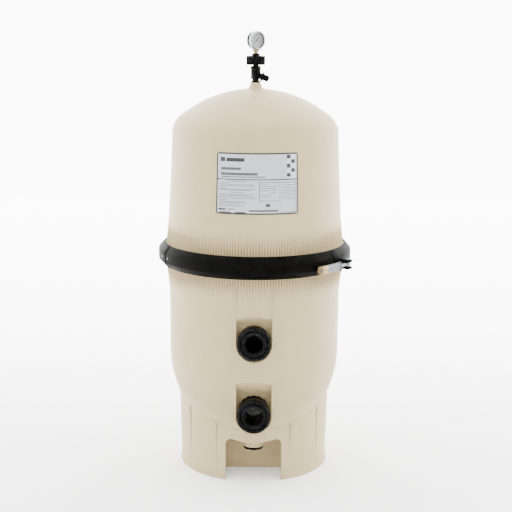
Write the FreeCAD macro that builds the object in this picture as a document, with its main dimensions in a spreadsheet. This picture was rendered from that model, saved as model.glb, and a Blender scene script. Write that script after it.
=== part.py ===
import FreeCAD, Part
import Sketcher
import math
import os

# Pool filter tank: a moulded two-part pressure vessel closed by a V-section
# clamp band, with a pressure gauge and air relief valve on the crown, two
# union ports and a drain in front, and a vertical-grid filter pack inside.
# +Z is up, the origin is on the tank axis at floor level, and the front,
# where the ports are, faces -Y. Azimuths are counted from the front towards +X.

doc = FreeCAD.newDocument("filter_tank")
sheet = doc.addObject("Spreadsheet::Sheet", "sizes")
AXIS_Z = FreeCAD.Vector(0, 0, 1)
nodes = []


class Size:
    """A length that carries its number and its spreadsheet expression."""

    def __init__(self, number, text):
        self.number = number
        self.text = text

    def joined(self, other, sign, number):
        return Size(number, "(%s %s %s)" % (self.text, sign, text_of(other)))

    def __add__(self, other):
        return self.joined(other, "+", self.number + number_of(other))

    def __sub__(self, other):
        return self.joined(other, "-", self.number - number_of(other))

    def __mul__(self, other):
        return self.joined(other, "*", self.number * number_of(other))

    def __truediv__(self, other):
        return self.joined(other, "/", self.number / number_of(other))

    def __neg__(self):
        return Size(-self.number, "(0 - %s)" % self.text)

    def root(self):
        return Size(math.sqrt(self.number), "sqrt(%s)" % self.text)


def number_of(value):
    return value.number if isinstance(value, Size) else float(value)


def text_of(value):
    return value.text if isinstance(value, Size) else "(%s)" % repr(float(value))


def cell(alias, value):
    """Put one driving dimension in the next row of the sheet."""
    cell.row += 1
    sheet.set("A%d" % cell.row, alias)
    sheet.set("B%d" % cell.row, str(value))
    sheet.setAlias("B%d" % cell.row, alias)
    return Size(float(value), "sizes." + alias)


cell.row = 0


def bind(obj, prop, value):
    if isinstance(value, Size):
        obj.setExpression(prop, value.text)


def place(obj, x=0, y=0, z=0, rotation=None):
    """Set where an object stands; Size coordinates stay tied to the sheet."""
    obj.Placement = FreeCAD.Placement(
        FreeCAD.Vector(number_of(x), number_of(y), number_of(z)), rotation or FreeCAD.Rotation())
    for letter, value in (("x", x), ("y", y), ("z", z)):
        bind(obj, "Placement.Base." + letter, value)
    return obj


def turn(degrees):
    return FreeCAD.Rotation(AXIS_Z, degrees)


def towards(x, y, z):
    """The rotation that lays a Z axis along the given direction."""
    return FreeCAD.Rotation(AXIS_Z, FreeCAD.Vector(x, y, z))


FORWARD = towards(0, -1, 0)


def cylinder(name, radius, height, x=0, y=0, z=0, rotation=None):
    obj = doc.addObject("Part::Cylinder", name)
    obj.Radius = number_of(radius)
    obj.Height = number_of(height)
    bind(obj, "Radius", radius)
    bind(obj, "Height", height)
    return place(obj, x, y, z, rotation)


def box(name, size, x=0, y=0, z=0, rotation=None):
    obj = doc.addObject("Part::Box", name)
    for prop, value in zip(("Length", "Width", "Height"), size):
        setattr(obj, prop, number_of(value))
        bind(obj, prop, value)
    return place(obj, x, y, z, rotation)


def ring(name, major, minor, x=0, y=0, z=0, rotation=None):
    obj = doc.addObject("Part::Torus", name)
    obj.Radius1 = number_of(major)
    obj.Radius2 = number_of(minor)
    bind(obj, "Radius1", major)
    bind(obj, "Radius2", minor)
    return place(obj, x, y, z, rotation)


def fuse(name, *shapes):
    obj = doc.addObject("Part::MultiFuse", name)
    obj.Shapes = list(shapes)
    return obj


def common(name, *shapes):
    obj = doc.addObject("Part::MultiCommon", name)
    obj.Shapes = list(shapes)
    return obj


def cut(name, base, *tools):
    obj = doc.addObject("Part::Cut", name)
    obj.Base = base
    obj.Tool = tools[0] if len(tools) == 1 else fuse(name + "_tools", *tools)
    return obj


def tube(name, outer, inner, height, x=0, y=0, z=0, rotation=None):
    """A plain pipe: a cylinder with a bore that runs past both ends."""
    wall = cylinder(name + "_wall", outer, height, x, y, z, rotation)
    bore = cylinder(name + "_bore", inner, height, x, y, z, rotation)
    return cut(name, wall, bore)


def node(label, obj):
    """Name a finished piece; its label names its STEP file."""
    obj.Label = label
    nodes.append(obj)
    return obj


def arc_middle(start, end, radius):
    """The middle of the arc from start to end; a minus radius bends it the other way."""
    chord = end - start
    half = chord.Length / 2.0
    rise = abs(radius) - math.sqrt(radius * radius - half * half)
    side = FreeCAD.Vector(chord.y, -chord.x, 0).normalize()
    return (start + end) * 0.5 + side * math.copysign(rise, radius)


def held(sketch, kind, edge, end, value):
    """Hold one coordinate of an edge's end, on an axis when it is zero."""
    if number_of(value) == 0:
        axis = -2 if kind == "DistanceX" else -1
        sketch.addConstraint(Sketcher.Constraint("PointOnObject", edge, end, axis))
        return
    index = sketch.addConstraint(Sketcher.Constraint(kind, edge, end, number_of(value)))
    bind(sketch, "Constraints[%d]" % index, value)


def turned(name, outline, arcs=None, angle=360, x=0, y=0, z=0, rotation=None):
    """A turned piece: a closed outline of (radius, height) points spun about Z.

    arcs gives the radius of an edge that is round, by the number of its first point.
    """
    arcs = arcs or {}
    body = doc.addObject("PartDesign::Body", name)
    sketch = body.newObject("Sketcher::SketchObject", name + "_outline")
    plane = [item for item in body.Origin.OriginFeatures if item.Role == "XZ_Plane"][0]
    sketch.AttachmentSupport = [(plane, "")]
    sketch.MapMode = "FlatFace"
    points = [FreeCAD.Vector(number_of(r), number_of(h), 0) for r, h in outline]
    ends = []
    for i, start in enumerate(points):
        end = points[(i + 1) % len(points)]
        if i in arcs:
            middle = arc_middle(start, end, number_of(arcs[i]))
            edge = sketch.addGeometry(Part.Arc(start, middle, end))
        else:
            edge = sketch.addGeometry(Part.LineSegment(start, end))
        first = 1 if (sketch.getPoint(edge, 1) - start).Length < 1e-6 else 2
        ends.append((edge, first, 3 - first))
    for i, (edge, first, last) in enumerate(ends):
        after = ends[(i + 1) % len(ends)]
        sketch.addConstraint(Sketcher.Constraint("Coincident", edge, last, after[0], after[1]))
        held(sketch, "DistanceX", edge, first, outline[i][0])
        held(sketch, "DistanceY", edge, first, outline[i][1])
        if i in arcs:
            radius = arcs[i] if number_of(arcs[i]) > 0 else -arcs[i]
            index = sketch.addConstraint(Sketcher.Constraint("Radius", edge, number_of(radius)))
            bind(sketch, "Constraints[%d]" % index, radius)
    spin = body.newObject("PartDesign::Revolution", name + "_spin")
    spin.Profile = sketch
    spin.ReferenceAxis = (sketch, ["V_Axis"])
    spin.Angle = angle
    body.Tip = spin
    return place(body, x, y, z, rotation)


def polar(radius, azimuth):
    """Plan position at an azimuth counted from the front towards +X."""
    angle = math.radians(azimuth)
    return radius * math.sin(angle), radius * -math.cos(angle)


# ---- driving dimensions, in millimetres ----

parting_z = cell("parting_z", 669)
wall = cell("wall_thick", 8)
tank_r = cell("tank_radius", 264)
flange_r = cell("flange_radius", 288)
neck_r = cell("neck_radius", 273.5)
flange_edge = cell("flange_edge_height", 16)
flange_rise = cell("flange_rise", 35)
rib_top_r = cell("rib_zone_top_radius", 266.5)
rib_top_z = cell("rib_zone_top_z", 775)
label_mid_r = cell("upper_wall_radius", 258.5)
label_mid_z = cell("upper_wall_z", 916)
knuckle_z = cell("knuckle_z", 1038.4)
knuckle_wall_r = cell("knuckle_wall_radius", 253.7)
knuckle_round = cell("knuckle_round", 62)
crown_round = cell("crown_round", 360)
boss_top_z = cell("boss_top_z", 1188)
boss_r = cell("boss_radius", 15.5)
boss_bore = cell("boss_bore_radius", 9.5)
bowl_z = cell("bowl_centre_z", 370)
bowl_front = cell("bowl_front_reach", 318)
bowl_drop = cell("bowl_drop", 300)
skirt_r = cell("skirt_radius", 230)
skirt_top_r = cell("skirt_top_radius", 235)
skirt_top_z = cell("skirt_top_z", 240)
skirt_thick = cell("skirt_thick", 8)
foot_r = cell("foot_radius", 232.5)
niche_half = cell("niche_half_width", 85)
niche_top = cell("niche_top_z", 133)
niche_lintel = cell("niche_lintel_z", 123)
niche_sag_r = cell("niche_sag_radius", 223)
niche_back = cell("niche_back", 113)
niche_round = cell("niche_corner_round", 20)
plate = cell("niche_plate", 6)
band_r = cell("band_radius", 298)
band_flat = cell("band_flat_half", 15)
band_lip_r = cell("band_lip_radius", 281)
band_half = cell("band_half_height", 34)
band_thick = cell("band_thick", 4)
inlet_z = cell("inlet_z", 445)
outlet_z = cell("outlet_z", 224)
inlet_seat = cell("inlet_seat", 240)
outlet_seat = cell("outlet_seat", 218)
port_bore = cell("port_bore_radius", 26.5)
port_thread = cell("port_thread_radius", 29.7)
port_flange = cell("port_flange_radius", 44)
tail_neck = cell("tail_neck_radius", 32)
tail_r = cell("tail_radius", 38)
union_r = cell("union_radius", 49.5)
union_recess = cell("union_recess_radius", 40.5)
port_face = cell("port_face", 292)
locknut_r = cell("locknut_radius", 44.5)
pocket_half = cell("pocket_half_width", 54)
drain_y = cell("drain_y", 165)
drain_face = cell("drain_face_z", 95)
drain_boss = cell("drain_boss_radius", 31.5)
drain_thread = cell("drain_thread_radius", 17)
bolt_line = cell("bolt_line_distance", 312)
bolt_r = cell("bolt_radius", 5)
bolt_z = cell("bolt_z", 659)
bolt_pivot = cell("bolt_pivot_along", 61)
gauge_z = cell("gauge_z", 1314)
gauge_r = cell("gauge_radius", 28)
manifold_z = cell("manifold_z", 1000)
manifold_r = cell("manifold_radius", 180)
grid_foot = cell("grid_foot_z", 385)
grid_top = cell("grid_top_z", 985)
grid_arc = cell("grid_arc_radius", 180)
grid_thick = cell("grid_thick", 14)
grid_mid = cell("grid_middle", 102)
rod_r = cell("rod_radius", 4.8)
standpipe_y = cell("standpipe_y", 150)

CLEAR = 0.1       # running clearance of a shaft or thread, each side
GRIDS = 8


# ---- upper shell: moulded dome with the valve boss ----

def crown_height(radius, offset=0):
    """Height of the crown sphere, or of its inner skin, at a radius."""
    sphere = crown_round - offset
    return crown_centre + (sphere * sphere - radius * radius).root()


knuckle_centre_r = knuckle_wall_r - knuckle_round
reach = crown_round - knuckle_round
knuckle_lift = (reach * reach - knuckle_centre_r * knuckle_centre_r).root()
crown_centre = knuckle_z - knuckle_lift


def knuckle_end(offset=0):
    """Where the knuckle runs into the crown, on the outer or the inner skin."""
    scale = (crown_round - offset) / reach
    return knuckle_centre_r * scale, crown_centre + knuckle_lift * scale


def upper_shell():
    flare_r = boss_r * 2.2
    inner_boss = boss_r + 4
    outline = [
        (neck_r - wall, parting_z),
        (flange_r, parting_z),
        (flange_r, parting_z + flange_edge),
        (neck_r, parting_z + flange_rise),
        (rib_top_r, rib_top_z),
        (label_mid_r, label_mid_z),
        (knuckle_wall_r, knuckle_z),
        knuckle_end(),
        (flare_r, crown_height(flare_r)),
        (boss_r + 6, boss_top_z - 11),
        (boss_r, boss_top_z),
        (boss_bore, boss_top_z),
        (boss_bore, boss_top_z - 36),
        (inner_boss, boss_top_z - 36),
        (inner_boss, crown_height(inner_boss, wall)),
        knuckle_end(wall),
        (knuckle_wall_r - wall, knuckle_z),
        (label_mid_r - wall, label_mid_z),
        (rib_top_r - wall, rib_top_z),
    ]
    arcs = {6: knuckle_round, 7: crown_round, 14: -(crown_round - wall), 15: -(knuckle_round - wall)}
    return turned("upper_shell_body", outline, arcs)


node("upper_shell", upper_shell())


# ---- lower shell: wall, bulged bowl, skirt with niche, port pockets, drain boss ----

def bowl(name, offset):
    """The bulged bottom: a cylinder trimmed by an ellipsoid that reaches forward."""
    egg = doc.addObject("Part::Ellipsoid", name + "_egg")
    egg.Radius1 = number_of(bowl_drop - offset)
    egg.Radius2 = number_of(tank_r - offset)
    egg.Radius3 = number_of(bowl_front - offset)
    bind(egg, "Radius1", bowl_drop - offset)
    bind(egg, "Radius2", tank_r - offset)
    bind(egg, "Radius3", bowl_front - offset)
    egg.Angle1 = -90
    egg.Angle2 = 90
    place(egg, 0, 0, bowl_z)
    can = cylinder(name + "_can", tank_r - offset, bowl_z, 0, 0, 0)
    return common(name, can, egg)


def wall_solid(name, offset):
    """The straight wall above the bowl, filled to the axis."""
    top = parting_z if number_of(offset) == 0 else neck_r - wall
    outline = [(0, bowl_z), (tank_r - offset, bowl_z), (tank_r + 0.5 - offset, parting_z - 139)]
    if number_of(offset) == 0:
        outline += [(neck_r, parting_z - flange_rise), (flange_r, parting_z - flange_edge),
                    (flange_r, top)]
    else:
        outline += [(top, parting_z - flange_rise), (top, parting_z)]
    outline.append((0, parting_z))
    return turned(name, outline)


def pocket(name, offset, seat, bottom, port_z):
    """The U-shaped recess of a port, or the thicker envelope that backs it."""
    half = pocket_half + offset
    depth = band_r - seat + offset
    trough_z = bottom + pocket_half
    ramp_z = port_z + 52 + offset * 0.4
    ramp = 70
    lean = math.sqrt(0.5)
    trough = cylinder(name + "_round", half, depth, 0, -seat + offset, trough_z, FORWARD)
    slot = box(name + "_slot", (half * 2, depth, ramp_z - trough_z), -half, -band_r, trough_z)
    sloped = box(name + "_ramp", (half * 2, ramp, ramp), -half, -seat + offset - ramp * lean,
                 ramp_z - ramp * lean, FreeCAD.Rotation(FreeCAD.Vector(1, 0, 0), 45))
    return fuse(name, trough, slot, sloped)


def skirt():
    """The stand under the bowl, fluted outside, with a foot bead."""
    outline = [(foot_r - skirt_thick, 0), (foot_r, 0), (foot_r, 6),
               (skirt_r, 16), (skirt_r, 45), (skirt_top_r, skirt_top_z),
               (skirt_top_r - skirt_thick, skirt_top_z), (skirt_r - skirt_thick, 45)]
    ring_wall = turned("skirt_wall", outline)
    flutes = []
    for side in (-1, 1):
        for step in range(6):
            azimuth = side * (29 + 28 * step)
            x, y = polar(number_of(skirt_r) - 0.5, azimuth)
            # The steep side of each V faces the front, the shallow side runs out to it.
            rotation = turn(azimuth - 90 - (70 if side > 0 else 20))
            flutes.append(box("flute", (12, 12, 240), x, y, 14, rotation))
    return cut("fluted_skirt", ring_wall, *flutes)


def niche_cutter(name, grow):
    """A doorway with round upper corners, from in front of the skirt to the back plate."""
    half = niche_half + grow
    top = niche_top + grow
    deep = band_r - niche_back + grow
    low = box(name + "_low", (half * 2, deep, top - niche_round), -half, -band_r, -grow)
    high = box(name + "_high", ((half - niche_round) * 2, deep, top + grow),
               -(half - niche_round), -band_r, -grow)
    left = cylinder(name + "_left", niche_round, deep, -(half - niche_round), -niche_back + grow,
                    top - niche_round, FORWARD)
    right = cylinder(name + "_right", niche_round, deep, half - niche_round, -niche_back + grow,
                     top - niche_round, FORWARD)
    doorway = fuse(name + "_doorway", low, high, left, right)
    # The lintel sags in the middle, where it follows the bowl.
    lintel = cylinder(name + "_lintel", niche_sag_r - grow, deep + 10, 0, -niche_back + grow + 5,
                      niche_lintel + niche_sag_r, FORWARD)
    return cut(name, doorway, lintel)


def lower_shell():
    inlet_low = inlet_z - 63
    outlet_low = outlet_z - 72
    stand = cut("stand", skirt(), niche_cutter("niche", 0))
    liner_block = common("liner_block", niche_cutter("liner", number_of(plate)),
                         cylinder("liner_can", skirt_r - 4, niche_top + 12, 0, 0, 0))
    liner = cut("niche_liner", liner_block, niche_cutter("niche_room", 0),
                box("liner_floor", (400, 400, 10), -200, -400, -10))
    boss = cylinder("drain_boss", drain_boss, 45, 0, -drain_y, drain_face)
    solid = fuse("tank_solid", wall_solid("outer_wall", 0), bowl("outer_bowl", 0),
                 stand, liner, boss)
    hollow = fuse("tank_hollow", wall_solid("inner_wall", wall), bowl("inner_bowl", wall))
    backing = fuse("pocket_backing", pocket("inlet_back", wall, inlet_seat, inlet_low, inlet_z),
                   pocket("outlet_back", wall, outlet_seat, outlet_low, outlet_z))
    room = cut("tank_room", hollow, backing)
    groove = tube("seal_groove", neck_r + 8, neck_r, 6, 0, 0, parting_z - 6)
    return cut("lower_shell_cut", solid, room,
               pocket("inlet_pocket", 0, inlet_seat, inlet_low, inlet_z),
               pocket("outlet_pocket", 0, outlet_seat, outlet_low, outlet_z),
               cylinder("inlet_hole", port_thread + 0.3, 80, 0, -200, inlet_z, FORWARD),
               cylinder("outlet_hole", port_thread + 0.3, 80, 0, -180, outlet_z, FORWARD),
               cylinder("drain_hole", drain_thread + CLEAR, 80, 0, -drain_y, drain_face - 1), groove)


node("lower_shell", lower_shell())
node("tank_oring", ring("tank_seal", neck_r + 4, 3, 0, 0, parting_z - 3))


# ---- clamp band: three V-section segments, straps, rivets ----

def band_outline():
    slope_in = band_thick * 0.73
    slope_down = band_thick * 0.68
    lip_end = band_half
    outer = [(band_lip_r, -lip_end), (band_r, -band_flat), (band_r, band_flat), (band_lip_r, lip_end)]
    inner = [(band_lip_r - band_thick * 1.3, lip_end), (band_r - slope_in, band_flat - slope_down),
             (band_r - slope_in, -(band_flat - slope_down)), (band_lip_r - band_thick * 1.3, -lip_end)]
    return [(r, parting_z + h) for r, h in outer + inner]


def band_segment(name, start, end):
    """One stretch of the band between two azimuths."""
    segment = turned(name, band_outline(), angle=end - start)
    segment.Placement.Rotation = turn(start - 90)
    return segment


CLOSURE = 56.5    # azimuth of the joint that the T-bolt closes
LEFT_JOINT = -66
REAR_JOINT = 175
GAP = 0.35

def band_straps():
    """Curved straps inside the band that tie the segments at the two fixed joints."""
    half = 9
    outline = [(flange_r + 1, parting_z - half), (band_r - band_thick, parting_z - half),
               (band_r - band_thick, parting_z + half), (flange_r + 1, parting_z + half)]
    pieces = []
    for joint in (LEFT_JOINT, REAR_JOINT):
        strap = turned("band_strap", outline, angle=14)
        strap.Placement.Rotation = turn(joint - 7 - 90)
        pieces.append(strap)
    return pieces


def band_rivets():
    """Two rivets on each strap, through band and strap, with a low outer head."""
    pieces = []
    for joint in (LEFT_JOINT, REAR_JOINT):
        for side in (-4.5, 4.5):
            x, y = polar(number_of(flange_r) + 1.0, joint + side)
            direction = FreeCAD.Vector(x, y, 0).normalize()
            pieces.append(cylinder("rivet", 2.5, 9.5, x, y, parting_z,
                                   towards(direction.x, direction.y, 0)))
    return pieces


rivet_group = fuse("rivet_group", *band_rivets())
strap_group = fuse("strap_group", *band_straps())
for label, start, end in (("band_front_segment", LEFT_JOINT, CLOSURE),
                          ("band_right_segment", CLOSURE, REAR_JOINT),
                          ("band_left_segment", REAR_JOINT, 360 + LEFT_JOINT)):
    blank = band_segment(label + "_blank", start + GAP, end - GAP)
    node(label, cut(label + "_drilled", blank, rivet_group))
node("band_straps", cut("drilled_straps", strap_group, rivet_group))
node("band_rivets", rivet_group)


# ---- T-bolt closure, on a line tangent to the band ----

BOLT_AZIMUTH = 49.75


def on_bolt(along, out=0.0, up=0.0):
    """A point of the closure: along the bolt, out from the tank, up."""
    azimuth = math.radians(BOLT_AZIMUTH)
    reach_out = number_of(bolt_line) + out
    x = math.sin(azimuth) * reach_out + math.cos(azimuth) * along
    y = -math.cos(azimuth) * reach_out + math.sin(azimuth) * along
    return x, y, number_of(bolt_z) + up


BOLT_BACK = towards(-math.cos(math.radians(BOLT_AZIMUTH)), -math.sin(math.radians(BOLT_AZIMUTH)), 0)
BOLT_SQUARE = turn(BOLT_AZIMUTH)


def on_bolt_box(name, along, out, up):
    """A block between limits along, out and up in the closure's own frame."""
    # In this frame local X runs along the bolt and local -Y runs outwards.
    x, y, z = on_bolt(along[0], out[1], up[0])
    return box(name, (along[1] - along[0], out[1] - out[0], up[1] - up[0]), x, y, z, BOLT_SQUARE)


def on_bolt_cylinder(name, radius, start, length):
    """A cylinder on the bolt line from start towards the nut."""
    x, y, z = on_bolt(start)
    return cylinder(name, radius, length, x, y, z, BOLT_BACK)


def band_envelope(name):
    """The filled outside of the band, to trim what is fixed on it."""
    profile = band_outline()
    outer = profile[:4]
    return turned(name, [(200, outer[0][1])] + outer + [(200, outer[3][1])])


PIVOT_X, PIVOT_Y, PIVOT_Z = on_bolt(number_of(bolt_pivot))
PIN_R = 4.0
EYE_HALF = 6.0
EAR_HALF = 14.0


def bolt_lug():
    block = on_bolt_box("lug_block", (49, 72), (-34, 10), (-EAR_HALF, EAR_HALF))
    mouth = on_bolt_box("lug_mouth", (40, 80), (-11, 20), (-EYE_HALF - 0.5, EYE_HALF + 0.5))
    hole = cylinder("lug_hole", PIN_R, 60, PIVOT_X, PIVOT_Y, PIVOT_Z - 30)
    return cut("lug_cut", block, mouth, hole, band_envelope("lug_trim"))


def clamp_saddle():
    block = on_bolt_box("saddle_block", (18, 29), (-34, 6), (-EAR_HALF, EAR_HALF))
    slot = on_bolt_box("saddle_slot", (10, 40), (-6.5, 20), (-5.8, 5.8))
    return cut("saddle_cut", block, slot, band_envelope("saddle_trim"))


def t_bolt():
    eye = cylinder("eye", 9, EYE_HALF * 2, PIVOT_X, PIVOT_Y, PIVOT_Z - EYE_HALF)
    shank = on_bolt_cylinder("shank", bolt_r, 58, 126)
    hole = cylinder("eye_hole", PIN_R + CLEAR, 40, PIVOT_X, PIVOT_Y, PIVOT_Z - 20)
    return cut("t_bolt_cut", fuse("t_bolt_blank", eye, shank), hole)


def clamp_spring():
    """A close-wound compression spring of round wire, swept along a helix."""
    wire_r = 1.9
    coil_r = 10.0
    turns = 12
    spine = doc.addObject("Part::Helix", "spring_line")
    spine.Pitch = 4.6
    spine.Height = 4.6 * turns
    spine.Radius = coil_r
    section = doc.addObject("Part::Circle", "spring_wire")
    section.Radius = wire_r
    section.Placement = FreeCAD.Placement(FreeCAD.Vector(coil_r, 0, 0),
                                          FreeCAD.Rotation(FreeCAD.Vector(1, 0, 0), 90))
    coil = doc.addObject("Part::Sweep", "spring_coil")
    coil.Sections = [section]
    coil.Spine = (spine, ["Edge1"])
    coil.Solid = True
    coil.Frenet = True
    x, y, z = on_bolt(13.2)
    return place(coil, x, y, z, BOLT_BACK)


def clamp_nut():
    body = on_bolt_cylinder("nut_round", 13, -46, 25)
    bore = on_bolt_cylinder("nut_bore", bolt_r + CLEAR, -40, 40)
    flats = []
    for step in range(4):
        rotation = BOLT_BACK.multiply(turn(45 + 90 * step))
        x, y, z = on_bolt(-45)
        side = box("nut_flat", (30, 30, 30), 0, 0, 0)
        offset = rotation.multVec(FreeCAD.Vector(11.5, -15, 0))
        flats.append(place(side, x + offset.x, y + offset.y, z + offset.z, rotation))
    return cut("nut_cut", body, bore, *flats)


def flat_washer(name, start):
    disc = on_bolt_cylinder(name + "_disc", 13, start, 2)
    return cut(name, disc, on_bolt_cylinder(name + "_hole", bolt_r + CLEAR, start + 5, 12))


node("bolt_lug", bolt_lug())
node("clamp_saddle", clamp_saddle())
node("t_bolt", t_bolt())
node("t_bolt_pin", cylinder("pivot_pin", PIN_R, 32, PIVOT_X, PIVOT_Y, PIVOT_Z - 16))
node("spring_seat", flat_washer("seat_washer", 17.4))
node("clamp_spring", clamp_spring())
node("clamp_washer", flat_washer("nut_washer", -44))
node("clamp_nut", clamp_nut())


# ---- union ports: bulkhead, gasket, locknut, tailpiece and union nut ----

def port(prefix, height, seat, nut_width):
    """One threaded bulkhead and its union, along the forward axis."""
    inside = seat - wall
    origin = {"z": height, "rotation": FORWARD}
    flange_back = inside - 16
    bulkhead = turned(prefix + "_bulkhead_body", [
        (port_bore, flange_back), (port_flange, flange_back), (port_flange, inside - 3),
        (port_thread, inside - 3), (port_thread, seat + nut_width), (port_bore, seat + nut_width)], **origin)
    gasket = turned(prefix + "_gasket_ring", [
        (port_thread, inside - 3), (port_flange - 1, inside - 3),
        (port_flange - 1, inside), (port_thread, inside)], **origin)
    nut_blank = turned(prefix + "_locknut_ring", [
        (port_thread, seat), (locknut_r, seat), (locknut_r, seat + nut_width),
        (port_thread, seat + nut_width)], **origin)
    grips = []
    for step in range(16):
        angle = math.radians(360 / 16 * (step + 0.5))
        grip_r = number_of(locknut_r) + 1.2
        grips.append(cylinder(prefix + "_grip", 3.2, nut_width + 2, grip_r * math.cos(angle), -seat + 1,
                              height + grip_r * math.sin(angle), FORWARD))
    locknut = cut(prefix + "_locknut_cut", nut_blank, *grips)
    tail_start = seat + nut_width
    shoulder = port_face - 30
    tail = turned(prefix + "_tail_turned", [
        (port_bore, tail_start), (tail_neck, tail_start), (tail_neck, shoulder), (tail_r, shoulder),
        (tail_r, port_face - 1), (port_bore, port_face - 1)], **origin)
    notches = [box(prefix + "_notch", (96, 10, 4), -48, -(port_face + 5), -2)]
    notches.append(box(prefix + "_notch", (4, 10, 96), -2, -(port_face + 5), -48))
    cross = place(fuse(prefix + "_notches", *notches), 0, 0, height)
    tailpiece = cut(prefix + "_tail_cut", tail, cross)
    union = turned(prefix + "_union_ring", [
        (tail_neck + 0.5, shoulder - 5.5), (union_r, shoulder - 5.5), (union_r, port_face),
        (union_recess, port_face), (union_recess, shoulder - 0.5), (tail_neck + 0.5, shoulder - 0.5)],
        **origin)
    node(prefix + "_bulkhead", bulkhead)
    node(prefix + "_gasket", gasket)
    node(prefix + "_locknut", locknut)
    node(prefix + "_tailpiece", tailpiece)
    node(prefix + "_union_nut", union)


port("inlet", inlet_z, inlet_seat, 12)
port("outlet", outlet_z, outlet_seat, 18)


# ---- drain ----

def drain_plug():
    flange = cylinder("plug_flange", 30, 6, 0, -drain_y, drain_face - 8.5)
    shank = cylinder("plug_shank", drain_thread, 22, 0, -drain_y, drain_face - 3)
    key = box("plug_key", (44, 14, 6), -22, -(drain_y + 7), drain_face - 13.5)
    grips = []
    for step in range(8):
        x, y = polar(31.0, 45 * step + 22.5)
        grips.append(cylinder("plug_grip", 3.5, 20, x, y - number_of(drain_y), drain_face - 16))
    return cut("plug", fuse("plug_blank", flange, shank, key), *grips)


node("drain_plug", drain_plug())
node("drain_oring", tube("drain_seal", 24, drain_thread + CLEAR, 2.5, 0, -drain_y, drain_face - 2.5))


# ---- air relief valve and pressure gauge ----

def air_relief_body():
    z = boss_top_z
    outline = [(2.5, z - 24), (boss_bore - 0.1, z - 24), (boss_bore - 0.1, z + 2.4), (16, z + 2.4),
               (16, z + 5), (10, z + 5), (10, z + 10), (15, z + 12), (15, z + 40), (16.5, z + 41),
               (16.5, z + 45), (15, z + 46), (15, z + 50), (8, z + 50), (8, z + 87), (4.5, z + 87),
               (4.5, z + 74), (2.5, z + 74)]
    return turned("valve_body", outline)


def relief_outlet():
    """The side outlet: a flange on the valve body and a round-nosed cap."""
    rotation = towards(math.cos(math.radians(20)), -0.25, -math.sin(math.radians(20)))
    z = number_of(boss_top_z) + 25
    outline = [(0, 14.6), (9, 14.6), (9, 19), (13.5, 20), (13.5, 24), (9.3, 25), (9.3, 38), (4, 43.5), (0, 43.5)]
    part = turned("outlet_turned", outline, {6: 6}, z=z, rotation=rotation)
    return cut("outlet_trimmed", part, cylinder("outlet_trim", 15, 60, 0, 0, z - 30))


def relief_knob():
    z = boss_top_z
    outline = [(8.4, z + 53), (26, z + 53), (26, z + 76), (29, z + 76.5), (29, z + 80), (8.4, z + 80)]
    blank = turned("knob_blank", outline)
    ribs = []
    for step in range(20):
        x, y = polar(26.6, 360 / 20 * step)
        ribs.append(cylinder("knob_rib", 1.9, 23.5, x, y, z + 53))
    hollow = tube("knob_hollow", 22, 12, 14, 0, 0, z + 53)
    return cut("knob_cut", fuse("knob_solid", blank, *ribs), hollow)


node("air_relief_oring", ring("valve_seal", 12, 1.2, 0, 0, boss_top_z + 1.2))
node("air_relief_body", air_relief_body())
node("air_relief_outlet", relief_outlet())
node("air_relief_knob", relief_knob())
node("knob_retainer", tube("retainer_ring", 12.5, 8, 6.5, 0, 0, boss_top_z + 80.5))

GAUGE_TURN = 40.0     # the gauge face looks this far round from the front
gauge_out = FreeCAD.Vector(math.sin(math.radians(GAUGE_TURN)), -math.cos(math.radians(GAUGE_TURN)), 0)
FACE = turn(GAUGE_TURN).multiply(FORWARD)


def gauge_turned(name, outline, arcs=None):
    return turned(name, outline, arcs, z=gauge_z, rotation=FACE)


def gauge_stem():
    z = boss_top_z
    tail = cylinder("stem_tail", 4.5, 13, 0, 0, z + 74)
    neck = cylinder("stem_neck", 6.5, 6, 0, 0, z + 87)
    flats = doc.addObject("Part::Prism", "stem_hex")
    flats.Polygon = 6
    flats.Circumradius = 11.5
    flats.Height = 6
    place(flats, 0, 0, z + 93)
    top = cylinder("stem_top", 5.5, 7, 0, 0, z + 99)
    return cut("stem_cut", fuse("stem_solid", tail, neck, flats, top),
               cylinder("stem_bore", 1.5, 40, 0, 0, z + 70),
               gauge_turned("stem_trim", [(0, -12), (gauge_r, -12), (gauge_r, 12), (0, 12)]))


def gauge_pointer():
    """A needle with a long thin end and a broad tail, pointing to the dial's zero."""
    hub = cylinder("pointer_hub", 3.2, 1.6, 0, 0, 3.2)
    shaft = cylinder("pointer_shaft", 1.4, 5, 0, 0, -1.6)
    needle = doc.addObject("Part::Wedge", "pointer_needle")
    needle.Xmin, needle.Xmax, needle.X2min, needle.X2max = -1.4, 1.4, -0.5, 0.5
    needle.Ymin, needle.Ymax = 0, 19
    needle.Zmin, needle.Zmax, needle.Z2min, needle.Z2max = 0, 0.8, 0, 0.8
    place(needle, 0, 0, 3.6)
    tail = box("pointer_tail", (4, 9, 0.8), -2, -9, 3.6)
    return place(fuse("pointer", hub, shaft, needle, tail), 0, 0, gauge_z,
                 FACE.multiply(turn(135)))


node("gauge_stem", gauge_stem())
node("gauge_case", gauge_turned("gauge_cup", [
    (0, -11.5), (26.5, -11.5), (26.5, 8), (24.4, 8), (24.4, -8.5), (0, -8.5)]))
node("gauge_bezel", gauge_turned("bezel_ring", [
    (26.5, 1), (gauge_r, 1), (gauge_r, 10.5), (gauge_r - 1.5, 12), (23.5, 12), (23.5, 9.9), (26.5, 9.9)]))
node("gauge_lens", gauge_turned("lens_disc", [(0, 8), (26.4, 8), (26.4, 9.8), (0, 9.8)]))
node("gauge_dial", gauge_turned("dial_disc", [(1.5, 0.8), (24.3, 0.8), (24.3, 1.8), (1.5, 1.8)]))
node("gauge_pointer", gauge_pointer())


# ---- rating plate, a thin sheet that follows the upper wall ----

LABEL_START, LABEL_END = -25.3, 28.5
LABEL_LOW, LABEL_HIGH = 823, 1000


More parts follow.
